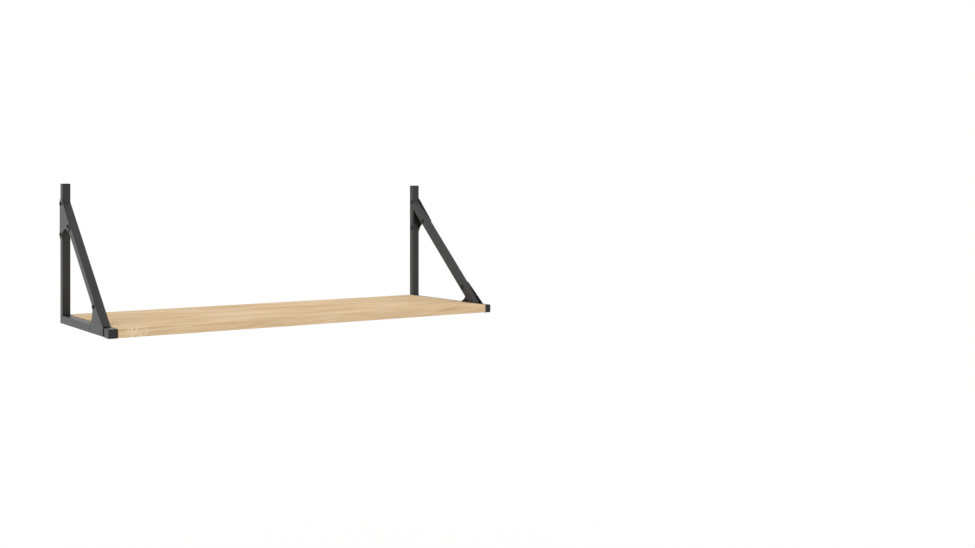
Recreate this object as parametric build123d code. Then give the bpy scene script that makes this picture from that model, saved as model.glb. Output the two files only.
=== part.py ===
from build123d import *
import os

# A wall shelf: a board held between two brackets of square tube.
# Millimetres. +X runs along the shelf, -Y points out of the wall and +Z is up.
# Outlines of a bracket are drawn from its side as (out, up): out from the wall, up from the arm's underside.

# Frame
frame_length = 800.0  # over the outer faces of the two brackets
frame_depth = 300.0  # from the wall to the front of the arm caps
frame_height = 268.0  # from the underside of the arms to the top of the post plugs

# Square steel tube of the posts, arms and braces
tube_side = 15.0
tube_wall = 1.2
tube_corner = 0.5
bore_corner = 0.3

# Brace, by where its front edge meets the post and the arm
brace_below_top = 35.0
brace_behind_front = 35.0
brace_foot_gap = 2.0  # between the brace's foot and the arm, which the lower gusset bridges

# Gusset plates on the outer faces
gusset_thickness = 1.5
gusset_inset = 0.5  # set back from the tube's outer edge
gusset_lip = 0.3  # proud of the brace's front face
gusset_corner = 2.5
gusset_edge_round = 0.4
gusset_bolt_edge = 8.5  # from a leg's end to its bolt
upper_gusset_above = 5.0  # over the brace's front edge, up the post
upper_gusset_post_leg = 71.0
upper_gusset_brace_leg = 70.0
upper_gusset_heel = 1.5  # bottom corner behind the post's front
upper_gusset_arch = 12.3  # rise of the arched inner edge between the two legs
lower_gusset_ahead = 6.5  # past the brace's front edge, along the arm
lower_gusset_shoulder = 1.0  # front corner above the arm's top
lower_gusset_arm_leg = 80.0
lower_gusset_brace_leg = 67.0
lower_gusset_heel = 0.4  # back corner under the arm's top
lower_gusset_arch = 8.1
lower_gusset_arch_run = 59.5  # from the brace's foot to where the arch meets its underside

# Bolts through gusset and tube
bolt_radius = 2.0
bolt_length = 16.0
bolt_chamfer = 0.4
bolt_clearance = 0.15
head_radius = 3.8
head_height = 1.8
head_round = 1.3
socket_flats = 2.5
socket_depth = 1.1

# Rivet nuts that take the bolts, set in the inner wall of each tube
insert_radius = 3.0
insert_length = 8.0
insert_flange_radius = 4.5
insert_flange = 0.6
insert_bulge_radius = 4.0
insert_bulge = 3.0
insert_clearance = 0.05
thread_clearance = 0.05

# Countersunk screws through the arms into the ends of the board
screw_radius = 2.0
screw_length = 45.0
screw_tip = 5.0
screw_tip_radius = 0.4
screw_head_radius = 3.8
screw_rim = 0.2
recess_length = 4.4
recess_width = 1.0
recess_depth = 1.5
sink_clearance = 0.05
screw_clearance = 0.05
screw_hole_spare = 1.0
rear_screw_out = 44.0

# Plastic cap over the front end of each arm
cap_length = 23.0
cap_wall = 0.6
cap_front = 1.5
cap_round = 0.5
cap_clearance = 0.05

# Plastic plug in the top of each post
plug_head = 2.0
plug_round = 0.6
plug_depth = 10.0
plug_wall = 1.2
plug_clearance = 0.3
rib_clearance = 0.05
rib_height = 1.0
rib_spacing = 3.5
rib_count = 2

# Keyholes in the back wall of each post, that hang on wall screws
keyhole_low = 32.0
keyhole_rise = 210.0
keyhole_entry_radius = 4.5
keyhole_slot_radius = 2.25
keyhole_drop = 9.0

# Board between the arms
board_thickness = 16.0
board_behind = 4.5  # gap between the board's back edge and the wall
board_ahead = 4.5  # board's front edge in front of the arm caps
board_bottom = 0.4  # above the underside of the arms
edge_band = 1.0
edge_band_round = 0.5

# Worked out from the sizes above
outer_x = frame_length / 2
bore_side = tube_side - 2 * tube_wall
origin_height = keyhole_low + keyhole_rise / 2
drill_reach = 2 * tube_side
cap_overhang = cap_clearance + cap_wall
board_end_x = outer_x - tube_side - cap_overhang
board_front = frame_depth + board_ahead
arm_end = frame_depth - cap_front
post_top = frame_height - plug_head

# The brace's front edge, its direction and the direction square to it, into the bracket's corner
brace_top = Vector(tube_side, frame_height - brace_below_top)
brace_foot = Vector(frame_depth - brace_behind_front, tube_side)
brace_way = (brace_foot - brace_top).normalized()
brace_under = Vector(brace_way.Y, -brace_way.X)
brace_span = (brace_foot - brace_top).length

# Outer face of the left bracket: its X is out from the wall, its Y is up, its Z is away from the board
left_face = Plane(origin=(-outer_x, 0, 0), x_dir=(0, -1, 0), z_dir=(-1, 0, 0))


def below_top(run, depth):
    return brace_top + brace_way * run + brace_under * depth


def above_foot(run, depth):
    return below_top(brace_span - run, depth)


# Places of the fastenings, seen from the side
post_bolts = [
    Vector(tube_side / 2, brace_top.Y + upper_gusset_above - gusset_bolt_edge),
    Vector(tube_side / 2, brace_top.Y - upper_gusset_post_leg + gusset_bolt_edge),
]
brace_bolts = [
    below_top(upper_gusset_brace_leg - gusset_bolt_edge, tube_side / 2),
    above_foot(lower_gusset_brace_leg - gusset_bolt_edge, tube_side / 2),
]
plate_screws = [
    Vector(brace_foot.X - lower_gusset_arm_leg + gusset_bolt_edge, tube_side / 2),
    Vector(brace_foot.X + lower_gusset_ahead - gusset_bolt_edge, tube_side / 2),
]
rear_screw = Vector(rear_screw_out, tube_side / 2)


def on_left_face(point, shape, standing=0.0):
    return left_face.location * Pos(point.X, point.Y, standing) * shape


def cross_drilled(shape, points, radius):
    for point in points:
        shape -= on_left_face(point, Cylinder(radius, 2 * drill_reach))
    return shape


def insert_drilled(shape, points):
    # Bolt holes right through, opened out for the rivet nuts in the inner wall
    wide = Cylinder(insert_radius + insert_clearance, 2 * tube_wall)
    for point in points:
        shape -= on_left_face(point, wide, -tube_side)
    return cross_drilled(shape, points, bolt_radius + bolt_clearance)


def countersunk(shape, point, standing=0.0):
    sink = on_left_face(point, flat_head(sink_clearance), standing)
    return cross_drilled(shape - sink, [point], screw_radius + bolt_clearance)


def flat_head(clearance=0.0):
    # A countersunk head of 90 degrees, its flat top at zero
    rim = extrude(Circle(screw_head_radius + clearance), amount=-screw_rim)
    depth = screw_head_radius - screw_radius
    cone = Cone(screw_radius + clearance, screw_head_radius + clearance, depth)
    return rim + Pos(0, 0, -screw_rim - depth / 2) * cone


def tube_section():
    outer = RectangleRounded(tube_side, tube_side, tube_corner)
    return outer - RectangleRounded(bore_side, bore_side, bore_corner)


def side_prism(points):
    # A solid through the whole width of the left bracket, with the given outline
    outline = make_face(Polyline(*points, close=True))
    return extrude(left_face * outline, amount=drill_reach, both=True)


def mitre(above):
    # One side of the diagonal cut between the foot of the post and the back of the arm
    corner = (0, tube_side) if above else (tube_side, 0)
    return side_prism([(0, 0), corner, (tube_side, tube_side)])


def keyhole(height):
    entry = Pos(0, height) * Circle(keyhole_entry_radius)
    seat = Pos(0, height + keyhole_drop) * Circle(keyhole_slot_radius)
    slot = Pos(0, height + keyhole_drop / 2) * Rectangle(2 * keyhole_slot_radius, keyhole_drop)
    back = Plane(origin=(-outer_x + tube_side / 2, 0, 0), x_dir=(1, 0, 0), z_dir=(0, -1, 0))
    return extrude(back * (entry + slot + seat), amount=2 * tube_wall)


def post_tube():
    stand = Plane(origin=(-outer_x + tube_side / 2, -tube_side / 2, 0))
    post = extrude(stand * tube_section(), amount=post_top)
    post -= mitre(above=False)
    post -= keyhole(keyhole_low)
    post -= keyhole(keyhole_low + keyhole_rise)
    return insert_drilled(post, post_bolts)


def arm_tube():
    back = Plane(origin=(-outer_x + tube_side / 2, 0, tube_side / 2), x_dir=(1, 0, 0), z_dir=(0, -1, 0))
    arm = extrude(back * tube_section(), amount=arm_end)
    arm -= mitre(above=True)
    for point in plate_screws:
        arm = countersunk(arm, point, gusset_thickness)
    return countersunk(arm, rear_screw)


def brace_tube():
    start = below_top(-2 * tube_side, tube_side / 2)
    run = Plane(
        origin=(-outer_x + tube_side / 2, -start.X, start.Y),
        x_dir=(1, 0, 0),
        z_dir=(0, -brace_way.X, brace_way.Y),
    )
    brace = extrude(run * tube_section(), amount=brace_span + 4 * tube_side)
    # Its ends are cut along the post's front and just over the arm's top
    foot = tube_side + brace_foot_gap
    inside = [
        (tube_side, foot),
        (frame_depth + drill_reach, foot),
        (frame_depth + drill_reach, frame_height + drill_reach),
        (tube_side, frame_height + drill_reach),
    ]
    brace &= side_prism(inside)
    return insert_drilled(brace, brace_bolts)


def gusset(corners, arch_from, arch_to, arch):
    # A plate whose straight edges join the corners, and whose last edge is an arch
    straight = Polyline(arch_to, *corners, arch_from)
    outline = make_face(straight + SagittaArc(arch_from, arch_to, -arch))
    outline = fillet(outline.vertices(), gusset_corner)
    plate = extrude(left_face * outline, amount=gusset_thickness)
    return fillet(plate.edges().group_by(Axis.X)[0], gusset_edge_round)


def upper_gusset():
    top = brace_top.Y + upper_gusset_above
    bottom = brace_top.Y - upper_gusset_post_leg
    corners = [
        Vector(gusset_inset, bottom),
        Vector(gusset_inset, top),
        Vector(tube_side, top),
        below_top(upper_gusset_brace_leg, -gusset_lip),
    ]
    arch_from = below_top(upper_gusset_brace_leg, tube_side)
    arch_to = Vector(tube_side - upper_gusset_heel, bottom)
    plate = gusset(corners, arch_from, arch_to, upper_gusset_arch)
    return cross_drilled(plate, [*post_bolts, brace_bolts[0]], bolt_radius + bolt_clearance)


def lower_gusset():
    front = brace_foot.X + lower_gusset_ahead
    back = brace_foot.X - lower_gusset_arm_leg
    corners = [
        above_foot(lower_gusset_brace_leg, tube_side),
        above_foot(lower_gusset_brace_leg, -gusset_lip),
        Vector(front, tube_side + lower_gusset_shoulder),
        Vector(front, gusset_inset),
        Vector(back, gusset_inset),
    ]
    arch_from = Vector(back, tube_side - lower_gusset_heel)
    arch_to = above_foot(lower_gusset_arch_run, tube_side)
    plate = gusset(corners, arch_from, arch_to, lower_gusset_arch)
    for point in plate_screws:
        plate = countersunk(plate, point, gusset_thickness)
    return cross_drilled(plate, [brace_bolts[1]], bolt_radius + bolt_clearance)


def arm_cap():
    outer_side = tube_side + 2 * cap_overhang
    inner_side = tube_side + 2 * cap_clearance
    middle = (-outer_x + tube_side / 2, -frame_depth + cap_length, tube_side / 2)
    rear = Plane(origin=middle, x_dir=(1, 0, 0), z_dir=(0, -1, 0))
    sleeve = RectangleRounded(outer_side, outer_side, tube_corner + cap_overhang)
    outer = extrude(rear * sleeve, amount=cap_length)
    outer = fillet(outer.edges().group_by(Axis.Y)[0], cap_round)
    hollow = RectangleRounded(inner_side, inner_side, tube_corner + cap_clearance)
    return outer - extrude(rear * hollow, amount=cap_length - cap_front)


def post_plug():
    mouth = Pos(-outer_x + tube_side / 2, -tube_side / 2, post_top)
    head = extrude(RectangleRounded(tube_side, tube_side, tube_corner), amount=plug_head)
    head = fillet(head.edges().group_by(Axis.Z)[-1], plug_round)
    leg_side = bore_side - 2 * plug_clearance
    rib_side = bore_side - 2 * rib_clearance
    leg = extrude(RectangleRounded(leg_side, leg_side, bore_corner), amount=-plug_depth)
    for place in range(1, rib_count + 1):
        rib = extrude(RectangleRounded(rib_side, rib_side, bore_corner), amount=rib_height)
        leg += Pos(0, 0, -place * rib_spacing) * rib
    hollow_side = leg_side - 2 * plug_wall
    leg -= extrude(Rectangle(hollow_side, hollow_side), amount=-plug_depth)
    return mouth * (head + leg)


def button_head():
    head = Cylinder(head_radius, head_height, align=(Align.CENTER, Align.CENTER, Align.MIN))
    head = fillet(head.edges().group_by(Axis.Z)[-1], head_round)
    socket = RegularPolygon(socket_flats / 2, 6, major_radius=False)
    return head - Pos(0, 0, head_height) * extrude(socket, amount=-socket_depth)


def gusset_bolt():
    shank = extrude(Circle(bolt_radius), amount=-bolt_length)
    return button_head() + chamfer(shank.edges().group_by(Axis.Z)[0], bolt_chamfer)


def rivet_nut():
    # Its flange is on the tube's face, and its bulge grips the wall from inside
    nut = extrude(Circle(insert_flange_radius), amount=-insert_flange)
    nut += extrude(Circle(insert_radius), amount=insert_length)
    nut += Pos(0, 0, tube_wall) * extrude(Circle(insert_bulge_radius), amount=insert_bulge)
    return nut - Cylinder(bolt_radius + thread_clearance, 2 * drill_reach)


def board_screw():
    shank = extrude(Circle(screw_radius), amount=-(screw_length - screw_tip))
    tip = Cone(screw_tip_radius, screw_radius, screw_tip)
    screw = flat_head() + shank + Pos(0, 0, -screw_length + screw_tip / 2) * tip
    recess = Rectangle(recess_length, recess_width) + Rectangle(recess_width, recess_length)
    return screw - extrude(recess, amount=-recess_depth)


def gusset_bolts():
    return [on_left_face(p, gusset_bolt(), gusset_thickness) for p in [*post_bolts, *brace_bolts]]


def rivet_nuts():
    return [on_left_face(p, rivet_nut(), -tube_side) for p in [*post_bolts, *brace_bolts]]


def board_screws():
    through_plate = [on_left_face(p, board_screw(), gusset_thickness) for p in plate_screws]
    return [*through_plate, on_left_face(rear_screw, board_screw())]


def board_block(x_low, x_high, out_low, out_high, outside=None):
    low = Pos(x_low, -out_high, board_bottom)
    corner = (Align.MIN, Align.MIN, Align.MIN)
    block = low * Box(x_high - x_low, out_high - out_low, board_thickness, align=corner)
    if outside:
        # An edge band has its two long outer edges rounded over
        face = block.faces().sort_by(outside)[-1]
        long_edges = face.edges().filter_by(Axis.Z, reverse=True)
        block = fillet(long_edges, edge_band_round)
    # Holes for the screws, from both ends
    for point in [*plate_screws, rear_screw]:
        hole = extrude(Circle(screw_radius + screw_clearance), amount=-(screw_length + screw_hole_spare))
        hole = on_left_face(point, hole)
        block -= hole
        block -= mirror(hole, about=Plane.YZ)
    return block


def board_pieces():
    end = board_end_x
    inner_end = end - edge_band
    back = board_behind + edge_band
    front = board_front - edge_band
    return {
        "board_core": board_block(-inner_end, inner_end, back, front),
        "board_front_edge": board_block(-end, end, front, board_front, outside=-Axis.Y),
        "board_back_edge": board_block(-end, end, board_behind, back, outside=Axis.Y),
        "board_left_edge": board_block(-end, -inner_end, back, front, outside=-Axis.X),
        "board_right_edge": board_block(inner_end, end, back, front, outside=Axis.X),
    }


def left_bracket():
    return {
        "post_tube": [post_tube()],
        "arm_tube": [arm_tube()],
        "brace_tube": [brace_tube()],
        "upper_gusset": [upper_gusset()],
        "lower_gusset": [lower_gusset()],
        "arm_cap": [arm_cap()],
        "post_plug": [post_plug()],
        "gusset_bolts": gusset_bolts(),
        "rivet_nuts": rivet_nuts(),
        "board_screws": board_screws(),
    }


def save(name, solids):
    # The origin is the middle of the four keyholes, on the wall
    lowered = [Pos(0, 0, -origin_height) * solid for solid in solids]
    shape = lowered[0] if len(lowered) == 1 else Compound(children=lowered)
    export_step(shape, f"parts/{name}.step")


os.makedirs("parts", exist_ok=True)
for piece, solids in left_bracket().items():
    save(f"left_{piece}", solids)
    save(f"right_{piece}", [mirror(solid, about=Plane.YZ) for solid in solids])
for piece, solid in board_pieces().items():
    save(piece, [solid])
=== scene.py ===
from math import radians

import bpy
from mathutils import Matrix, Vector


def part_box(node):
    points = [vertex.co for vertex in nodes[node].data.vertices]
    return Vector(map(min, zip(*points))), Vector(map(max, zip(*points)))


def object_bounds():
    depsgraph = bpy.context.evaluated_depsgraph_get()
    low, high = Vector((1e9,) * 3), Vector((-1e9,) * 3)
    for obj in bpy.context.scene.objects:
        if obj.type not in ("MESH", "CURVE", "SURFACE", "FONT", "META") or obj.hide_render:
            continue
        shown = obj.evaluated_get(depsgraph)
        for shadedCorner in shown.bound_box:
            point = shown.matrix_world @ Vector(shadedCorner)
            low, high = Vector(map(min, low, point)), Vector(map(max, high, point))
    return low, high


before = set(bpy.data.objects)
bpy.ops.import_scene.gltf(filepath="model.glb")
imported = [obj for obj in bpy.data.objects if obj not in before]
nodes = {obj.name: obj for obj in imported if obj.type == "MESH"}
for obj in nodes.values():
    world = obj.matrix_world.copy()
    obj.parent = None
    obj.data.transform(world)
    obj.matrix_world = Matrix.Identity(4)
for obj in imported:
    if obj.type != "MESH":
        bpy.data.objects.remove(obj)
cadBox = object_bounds()
bpy.ops.object.select_all(action="DESELECT")
print("frame loaded:", len(nodes), "nodes")


# A wrapped socket: sums and products of it add Math nodes to its tree
class Value:
    def __init__(self, finish, socket):
        self.finish = finish
        self.socket = socket

    def math(self, operation, *others, swapped=False):
        terms = [self, *others]
        if swapped:
            terms.reverse()
        return self.finish.add("ShaderNodeMath", dict(operation=operation), dict(enumerate(terms)))

    def also(self, output):  # another output of the same node
        return Value(self.finish, self.socket.node.outputs[output])

    def __add__(self, other):
        return self.math("ADD", other)

    def __sub__(self, other):
        return self.math("SUBTRACT", other)

    def __mul__(self, other):
        return self.math("MULTIPLY", other)

    def __truediv__(self, other):
        return self.math("DIVIDE", other)

    def __pow__(self, other):
        return self.math("POWER", other)

    def __rsub__(self, other):
        return self.math("SUBTRACT", other, swapped=True)

    def __rtruediv__(self, other):
        return self.math("DIVIDE", other, swapped=True)

    def __rpow__(self, other):
        return self.math("POWER", other, swapped=True)

    __radd__ = __add__
    __rmul__ = __mul__


# Masks of a piece's outer edges and of the shaded inner corners between pieces, found by ambient occlusion
masks = dict(
    edgeSamples=6, edgeFrom=0.01, edgeTo=0.18,
    cornerSamples=8, cornerFrom=0.3, cornerTo=0.65,
)
noiseMiddle = 0.5  # of a noise's range


# A material and its nodes
class Finish:
    def __init__(self, name):
        self.material = bpy.data.materials.new(name)
        self.material.use_nodes = True
        self.tree = self.material.node_tree
        self.tree.nodes.clear()

    # Any node, from its type, its settings and the values or links of its sockets
    def add(self, kind, settings=None, sockets=None, output=0):
        node = self.tree.nodes.new(kind)
        for name, setting in (settings or {}).items():
            if name == "stops":
                self.setStops(node.color_ramp, setting)
            else:
                setattr(node, name, setting)
        for name, given in (sockets or {}).items():
            if isinstance(given, Value):
                self.tree.links.new(given.socket, node.inputs[name])
            else:
                node.inputs[name].default_value = given
        return Value(self, node.outputs[output]) if len(node.outputs) else None

    def setStops(self, ramp, stops):
        while len(ramp.elements) < len(stops):
            ramp.elements.new(1.0)
        for element, (place, colour) in zip(ramp.elements, stops):
            element.position = place
            element.color = (*colour, 1.0)

    def moved(self, vector, turn, shift=(0, 0, 0)):
        sockets = {"Vector": vector, "Location": shift, "Rotation": turn}
        return self.add("ShaderNodeMapping", dict(vector_type="POINT"), sockets)

    def objectPlace(self, turn=0.0, shift=(0, 0, 0)):
        place = self.add("ShaderNodeTexCoord", output="Object")
        return self.moved(place, (0, 0, radians(turn)), shift)

    def parts(self, vector):  # its three numbers
        first = self.add("ShaderNodeSeparateXYZ", None, {"Vector": vector})
        return first, first.also("Y"), first.also("Z")

    def stretch(self, vector, scale):
        return self.add("ShaderNodeVectorMath", dict(operation="MULTIPLY"), {0: vector, 1: scale})

    def noise(self, vector, scale, detail=2.0, rough=0.5):
        spread = (scale, scale, scale) if isinstance(scale, float) else scale
        sockets = {"Vector": self.stretch(vector, spread), "Scale": 1.0, "Detail": detail, "Roughness": rough}
        return self.add("ShaderNodeTexNoise", dict(noise_dimensions="3D"), sockets)

    def sway(self, vector, scale, size):  # noise to both sides of zero
        return (self.noise(vector, scale) - noiseMiddle) * size

    def ramp(self, value, stops):
        return self.add("ShaderNodeValToRGB", dict(stops=stops), {"Fac": value})

    def levels(self, value, stops):  # a ramp of greys
        return self.ramp(value, [(place, (level, level, level)) for place, level in stops])

    def grey(self, value, low, high):  # 0 under low, 1 over high, smooth between
        settings = dict(interpolation_type="SMOOTHSTEP")
        return self.add("ShaderNodeMapRange", settings, {"Value": value, "From Min": low, "From Max": high})

    def blend(self, factor, first, second):
        given = [shade if isinstance(shade, Value) else (*shade, 1.0) for shade in (first, second)]
        # A Mix node's colours are its sockets 6 and 7, and its output 2
        sockets = {"Factor": factor, 6: given[0], 7: given[1]}
        return self.add("ShaderNodeMix", dict(data_type="RGBA"), sockets, 2)

    def bump(self, height, distance, strength=1.0, under=None):
        sockets = {"Height": height, "Distance": distance, "Strength": strength}
        if under:
            sockets["Normal"] = under
        return self.add("ShaderNodeBump", None, sockets)

    def edges(self, width):  # 1 along the outer edges of a piece
        soft = self.add("ShaderNodeBevel", dict(samples=masks["edgeSamples"]), {"Radius": width})
        plain = self.add("ShaderNodeNewGeometry", output="Normal")
        facing = self.add("ShaderNodeVectorMath", dict(operation="DOT_PRODUCT"), {0: soft, 1: plain}, "Value")
        return self.grey(1 - facing, masks["edgeFrom"], masks["edgeTo"])

    def corners(self, reach):  # 1 in the inner corners between pieces, where shade falls, found by ambient occlusion
        settings = dict(samples=masks["cornerSamples"])
        openness = self.add("ShaderNodeAmbientOcclusion", settings, {"Distance": reach}, "AO")
        return 1 - self.grey(openness, masks["cornerFrom"], masks["cornerTo"])

    def surface(self, colour, rough, skin, specular):
        shader = self.add("ShaderNodeBsdfPrincipled", None, {
            "Base Color": colour, "Roughness": rough, "Normal": skin, "Specular IOR Level": specular})
        self.add("ShaderNodeOutputMaterial", None, {"Surface": shader})
        return self.material


# Satin powder coat of the tubes and plates
coat = dict(
    deep=(0.015, 0.015, 0.0155), thin=(0.021, 0.021, 0.0215), edge=(0.032, 0.032, 0.033),
    smooth=0.36, grainy=0.44, cloudShare=0.6, specular=0.42,
    cloudScale=24.0, cloudDetail=3.0, cloudFrom=0.3, cloudTo=0.7,
    peelScale=620.0, peelHeight=0.00005, grainScale=2600.0, grainHeight=0.00001, fineDetail=1.0,
    edgeWidth=0.0011, edgeWear=0.55, edgePolish=0.08,
    # painted shade: the coat's colour in the inner corners, where shade falls
    cornerReach=0.03, paintedCornerShade=(0.003, 0.003, 0.003), cornerDull=0.4,
)


def powderCoat():
    look = Finish("powderCoat")
    place = look.objectPlace()
    cloud = look.noise(place, coat["cloudScale"], coat["cloudDetail"])
    peel = look.noise(place, coat["peelScale"], coat["fineDetail"])
    grain = look.noise(place, coat["grainScale"], coat["fineDetail"])
    patchy = look.grey(cloud, coat["cloudFrom"], coat["cloudTo"])
    worn = look.edges(coat["edgeWidth"]) * patchy * coat["edgeWear"]
    shadedCorner = look.corners(coat["cornerReach"])
    colour = look.blend(patchy, coat["deep"], coat["thin"])
    colour = look.blend(worn, colour, coat["edge"])
    # Painted shade: the coat's colour darkens to near black in the inner corners, where ambient occlusion
    # finds shade
    colour = look.blend(shadedCorner, colour, coat["paintedCornerShade"])
    span = coat["grainy"] - coat["smooth"]
    cloudSpan = coat["cloudShare"] * span
    rough = cloud * cloudSpan + grain * (span - cloudSpan) + coat["smooth"]
    rough = rough + shadedCorner * coat["cornerDull"] - worn * coat["edgePolish"]
    skin = look.bump(peel, coat["peelHeight"])
    skin = look.bump(grain, coat["grainHeight"], under=skin)
    return look.surface(colour, rough, skin, coat["specular"])


# Moulded plastic of the arm caps and post plugs
mould = dict(
    low=(0.0055, 0.0055, 0.0057), high=(0.009, 0.009, 0.0093), edge=(0.016, 0.016, 0.0165),
    rough=0.36, roughSpread=0.1, specular=0.42, flowScale=(90.0, 30.0, 90.0),
    sparkScale=1500.0, sparkHeight=0.00003, sparkStrength=0.6,
    edgeWidth=0.0008, edgeWear=0.6, cornerReach=0.02, cornerDull=0.4,
)


def mouldedPlastic():
    look = Finish("mouldedPlastic")
    place = look.objectPlace()
    sockets = {"Vector": place, "Scale": mould["sparkScale"]}
    spark = look.add("ShaderNodeTexVoronoi", dict(feature="SMOOTH_F1"), sockets)
    flow = look.noise(place, mould["flowScale"])
    worn = look.edges(mould["edgeWidth"]) * mould["edgeWear"]
    colour = look.blend(flow, mould["low"], mould["high"])
    colour = look.blend(worn, colour, mould["edge"])
    shadedCorner = look.corners(mould["cornerReach"])
    rough = flow * mould["roughSpread"] + shadedCorner * mould["cornerDull"] + mould["rough"]
    skin = look.bump(spark, mould["sparkHeight"], mould["sparkStrength"])
    return look.surface(colour, rough, skin, mould["specular"])


# Black zinc of the bolts, rivet nuts and screws
zinc = dict(
    low=(0.006, 0.006, 0.0065), high=(0.013, 0.0128, 0.0125), edge=(0.05, 0.049, 0.047),
    rough=0.46, roughSpread=0.2, specular=0.3,
    blotchScale=900.0, blotchDetail=3.0, blotchRough=0.6, blotchFrom=0.35, blotchTo=0.65,
    blotchHeight=0.00002, edgeWidth=0.0004, edgeWear=0.5,
)
flushZinc = dict(
    zinc, low=(0.012, 0.012, 0.0125), high=(0.019, 0.0188, 0.0185),
    rough=0.36, roughSpread=0.1, specular=0.42,
)


def blackZinc(name, plating):
    look = Finish(name)
    place = look.objectPlace()
    blotch = look.noise(place, plating["blotchScale"], plating["blotchDetail"], plating["blotchRough"])
    patchy = look.grey(blotch, plating["blotchFrom"], plating["blotchTo"])
    worn = look.edges(plating["edgeWidth"]) * patchy * plating["edgeWear"]
    colour = look.blend(blotch, plating["low"], plating["high"])
    colour = look.blend(worn, colour, plating["edge"])
    rough = blotch * plating["roughSpread"] + plating["rough"]
    skin = look.bump(blotch, plating["blotchHeight"])
    return look.surface(colour, rough, skin, plating["specular"])


# Oak of the board and its bands: growth rings about a pith that runs along the grain
boardLow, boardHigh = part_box("board_core")
boardTop = boardHigh[2]
boardMiddle = (boardLow[1] + boardHigh[1]) / 2
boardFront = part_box("board_front_edge")[0][1]

# What all the oak pieces share: scales are along the grain, across it and up
oak = dict(
    dark=(0.59, 0.40, 0.213), middle=(0.72, 0.52, 0.311), light=(0.81, 0.62, 0.408),
    darkAt=0.12, middleAt=0.5, lightAt=0.88, ray=(0.90, 0.74, 0.54), pore=(0.40, 0.25, 0.125),
    rough=0.68, poreRough=0.16, fibreRough=0.08, specular=0.03,
    driftAcross=(2.6, 5.0, 5.0), driftUp=(3.4, 9.0, 9.0), driftUpShare=0.6,  # how the pith wanders
    waveScale=(9.0, 60.0, 60.0), cloudScale=(3.0, 9.0, 9.0),
    bandUp=2.0, bandDetail=3.0, bandBreak=0.55,
    fibreRun=7.0, fibreUp=90.0, fibreDetail=3.0, fibreBreak=0.6,
    ringPush=1.6,  # how far the bands bend the rings, in rings
    late=((0.0, 0.25), (0.22, 0.05), (0.62, 0.8), (0.9, 1.0), (1.0, 0.3)),  # lightness through a ring
    early=((0.0, 0.6), (0.12, 1.0), (0.4, 0.25), (0.9, 0.05)),  # share of pores through a ring
    strokeFrom=0.47, strokeTo=0.6, fleckBehind=0.6, fleckFull=0.4, fleckGone=1.4,
    strayFrom=0.6, strayTo=0.75, stray=0.3,  # flecks away from their place
    poreScale=(95.0, 1300.0, 1300.0), poreFrom=0.1, poreTo=0.3, poreShade=0.5,
    skinHeight=0.00008, skinStrength=0.8, fibreHeight=0.35,
)
boardOak = dict(
    pithAcross=boardMiddle - 0.02, pithUp=boardTop - 0.055, turn=0.0, shift=(1.75, 0.0, 0.0),
    ringWidth=0.0052, wander=0.016, wave=0.0035, taper=0.02,
    bandRun=5.0, bandScale=38.0, fibreScale=420.0, figure=0.3, band=1.6, fibre=0.6, cloud=0.25,
    fleckAt=-0.35, fleckHalf=0.036, fleckTurn=(0.0, 0.0, radians(78)),
    fleckScale=(40.0, 420.0, 420.0), fleck=0.3,
)
longBandOak = dict(
    pithAcross=boardMiddle, pithUp=boardTop - 0.6, turn=0.0, shift=(1.15, 0.0, 0.0),
    ringWidth=0.0038, wander=0.012, wave=0.0022, taper=-0.04,
    bandRun=14.0, bandScale=170.0, fibreScale=900.0, figure=0.25, band=1.1, fibre=1.0, cloud=0.25,
    fleckAt=-0.351, fleckHalf=0.02, fleckTurn=(0.0, radians(72), 0.0),
    fleckScale=(60.0, 430.0, 430.0), fleck=0.8,
)
endBandOak = dict(
    longBandOak, pithAcross=0.0, turn=90.0, shift=(0.0, 0.0, 0.0), wave=0.002, taper=0.03,
    fleckAt=0.0, fleckTurn=(0.0, radians(70), 0.0), fleckScale=(60.0, 420.0, 420.0), fleck=0.3,
)


# Distance from the pith, which wanders slowly, and the place along the wood and across its rings
def ringPlace(look, place, wood):
    along, across, up = look.parts(place)
    driftAcross = look.sway(place, oak["driftAcross"], wood["wander"])
    driftUp = look.sway(place, oak["driftUp"], oak["driftUpShare"] * wood["wander"])
    aside = across + driftAcross - wood["pithAcross"]
    above = up + driftUp - wood["pithUp"]
    radius = (aside * aside + above * above) ** 0.5
    radius = radius + along * wood["taper"] + look.sway(place, oak["waveScale"], wood["wave"])
    return radius, look.add("ShaderNodeCombineXYZ", None, {"X": along, "Y": radius, "Z": up})


# Ray flecks: pale strokes across the grain, thickest about one place on the front edge
def rayFlecks(look, place, cloud, wood):
    along, across = look.parts(place)[:2]
    leaning = look.moved(place, wood["fleckTurn"])
    stroke = look.grey(look.noise(leaning, wood["fleckScale"]), oak["strokeFrom"], oak["strokeTo"])
    sideways = along - (wood["fleckAt"] + wood["shift"][0])
    behind = (across - boardFront) * oak["fleckBehind"]
    apart = (sideways * sideways + behind * behind) ** 0.5
    half = wood["fleckHalf"]
    zone = 1 - look.grey(apart, oak["fleckFull"] * half, oak["fleckGone"] * half)
    stray = look.grey(cloud, oak["strayFrom"], oak["strayTo"]) * oak["stray"]
    return stroke * zone.math("MAXIMUM", stray) * wood["fleck"]


# Pores: short dark dashes, most of them in the early wood
def earlyPores(look, place, early):
    sockets = {"Vector": look.stretch(place, oak["poreScale"]), "Scale": 1.0}
    cells = look.add("ShaderNodeTexVoronoi", dict(feature="F1"), sockets)
    return (1 - look.grey(cells, oak["poreFrom"], oak["poreTo"])) * early


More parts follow.
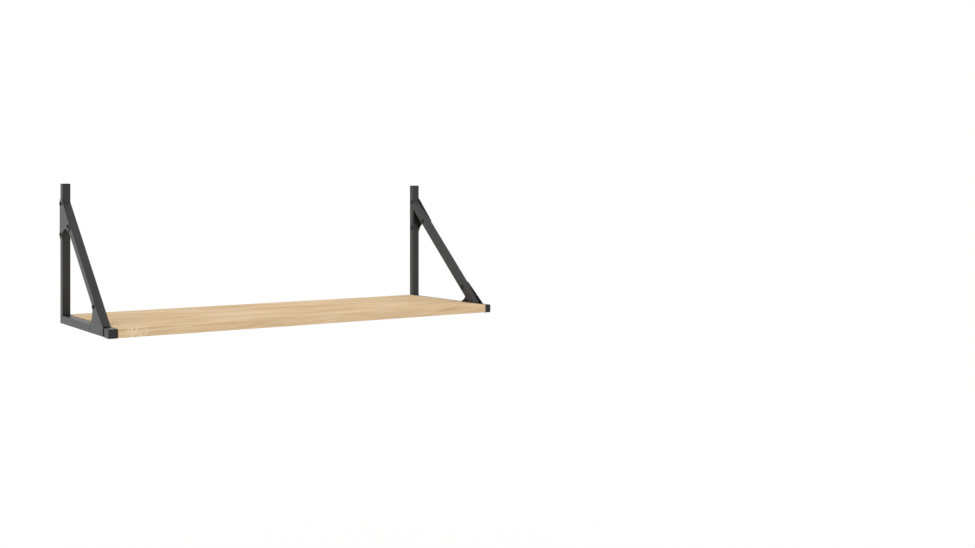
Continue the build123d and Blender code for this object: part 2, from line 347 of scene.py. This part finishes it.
def oakFinish(name, wood):
    look = Finish(name)
    place = look.objectPlace(wood["turn"], wood["shift"])
    radius, grain = ringPlace(look, place, wood)
    bandScale = (wood["bandRun"], wood["bandScale"], oak["bandUp"])
    band = look.noise(grain, bandScale, oak["bandDetail"], oak["bandBreak"])
    fibreScale = (oak["fibreRun"], wood["fibreScale"], oak["fibreUp"])
    fibre = look.noise(grain, fibreScale, oak["fibreDetail"], oak["fibreBreak"])
    cloud = look.noise(place, oak["cloudScale"])
    ring = (radius / wood["ringWidth"] + band * oak["ringPush"]).math("FRACT")
    late = look.levels(ring, oak["late"])
    pores = earlyPores(look, place, look.levels(ring, oak["early"]))
    # Dark and light wood, from the late wood of the rings and the three noises
    tone = (late - noiseMiddle) * wood["figure"] + oak["middleAt"]
    for share, streak in dict(band=band, fibre=fibre, cloud=cloud).items():
        tone = tone + (streak - noiseMiddle) * wood[share]
    colour = look.ramp(tone, [(oak[f"{shade}At"], oak[shade]) for shade in ("dark", "middle", "light")])
    colour = look.blend(rayFlecks(look, place, cloud, wood), colour, oak["ray"])
    colour = look.blend(pores * oak["poreShade"], colour, oak["pore"])
    rough = pores * oak["poreRough"] + fibre * oak["fibreRough"] + oak["rough"]
    skin = look.bump(fibre * oak["fibreHeight"] - pores, oak["skinHeight"], oak["skinStrength"])
    return look.surface(colour, rough, skin, oak["specular"])


finishes = dict(
    coat=powderCoat(), plastic=mouldedPlastic(),
    zinc=blackZinc("blackZinc", zinc), flushZinc=blackZinc("flushZinc", flushZinc),
    board=oakFinish("boardOak", boardOak),
    longBand=oakFinish("longBandOak", longBandOak), endBand=oakFinish("endBandOak", endBandOak),
)
print("finishes made:", len(finishes))

# What each piece is finished with
bracketPieces = dict(
    post_tube="coat", arm_tube="coat", brace_tube="coat", upper_gusset="coat", lower_gusset="coat",
    arm_cap="plastic", post_plug="plastic", gusset_bolts="zinc", rivet_nuts="zinc", board_screws="flushZinc",
)
boardPieces = dict(
    board_core="board", board_front_edge="longBand", board_back_edge="longBand",
    board_left_edge="endBand", board_right_edge="endBand",
)


def dress(piece, finish):
    slots = nodes[piece].data.materials
    slots.clear()
    slots.append(finishes[finish])


for side in ("left", "right"):
    for piece, finish in bracketPieces.items():
        dress(f"{side}_{piece}", finish)
for piece, finish in boardPieces.items():
    dress(piece, finish)
print("pieces dressed:", 2 * len(bracketPieces) + len(boardPieces))

# Floor, well under the shelf
floor = dict(below=0.9, size=24.0, albedo=0.8)


def addFloor():
    place = (0, 0, cadBox[0][2] - floor["below"])
    bpy.ops.mesh.primitive_plane_add(size=floor["size"], location=place)
    ground = bpy.context.object
    ground.name = "floor"
    look = Finish("paleFloor")
    albedo = floor["albedo"]
    ray = look.add("ShaderNodeLightPath", output="Is Camera Ray")
    seen = ray.math("MAXIMUM", ray.also("Is Glossy Ray")).math("MAXIMUM", ray.also("Is Transmission Ray"))
    pale = look.add("ShaderNodeBsdfDiffuse", None, {"Color": (albedo, albedo, albedo, 1.0)})
    lift = look.add("ShaderNodeEmission", None, {"Color": seen * (1 - albedo), "Strength": 1.0})
    whole = look.add("ShaderNodeAddShader", None, {0: pale, 1: lift})
    look.add("ShaderNodeOutputMaterial", None, {"Surface": whole})
    ground.data.materials.append(look.material)
    bpy.ops.object.select_all(action="DESELECT")


addFloor()

# Camera of the photograph: its place in metres, yaw in degrees, sensor in mm, the rest in pixels
photo = dict(
    width=975, height=548, focal=1165.97, horizon=195.27, yaw=35.18, sensor=36.0,
    place=(-1.0199, -2.30431, 0.10864),
)


def addCamera():
    level = (radians(90), 0, radians(-photo["yaw"]))
    bpy.ops.object.camera_add(location=photo["place"], rotation=level)
    camera = bpy.context.object
    camera.data.sensor_width = photo["sensor"]
    camera.data.lens = photo["sensor"] * photo["focal"] / photo["width"]
    camera.data.shift_y = (photo["horizon"] - photo["height"] / 2) / photo["width"]
    bpy.context.scene.camera = camera


addCamera()

# Soft light from all round
light = dict(colour=(1.0, 1.0, 1.0))


def addLight():
    world = bpy.data.worlds.new("studio")
    world.use_nodes = True
    world.node_tree.nodes["Background"].inputs["Color"].default_value = (*light["colour"], 1.0)
    bpy.context.scene.world = world
    bpy.context.scene.view_settings.view_transform = "Standard"


addLight()
print("stage set")
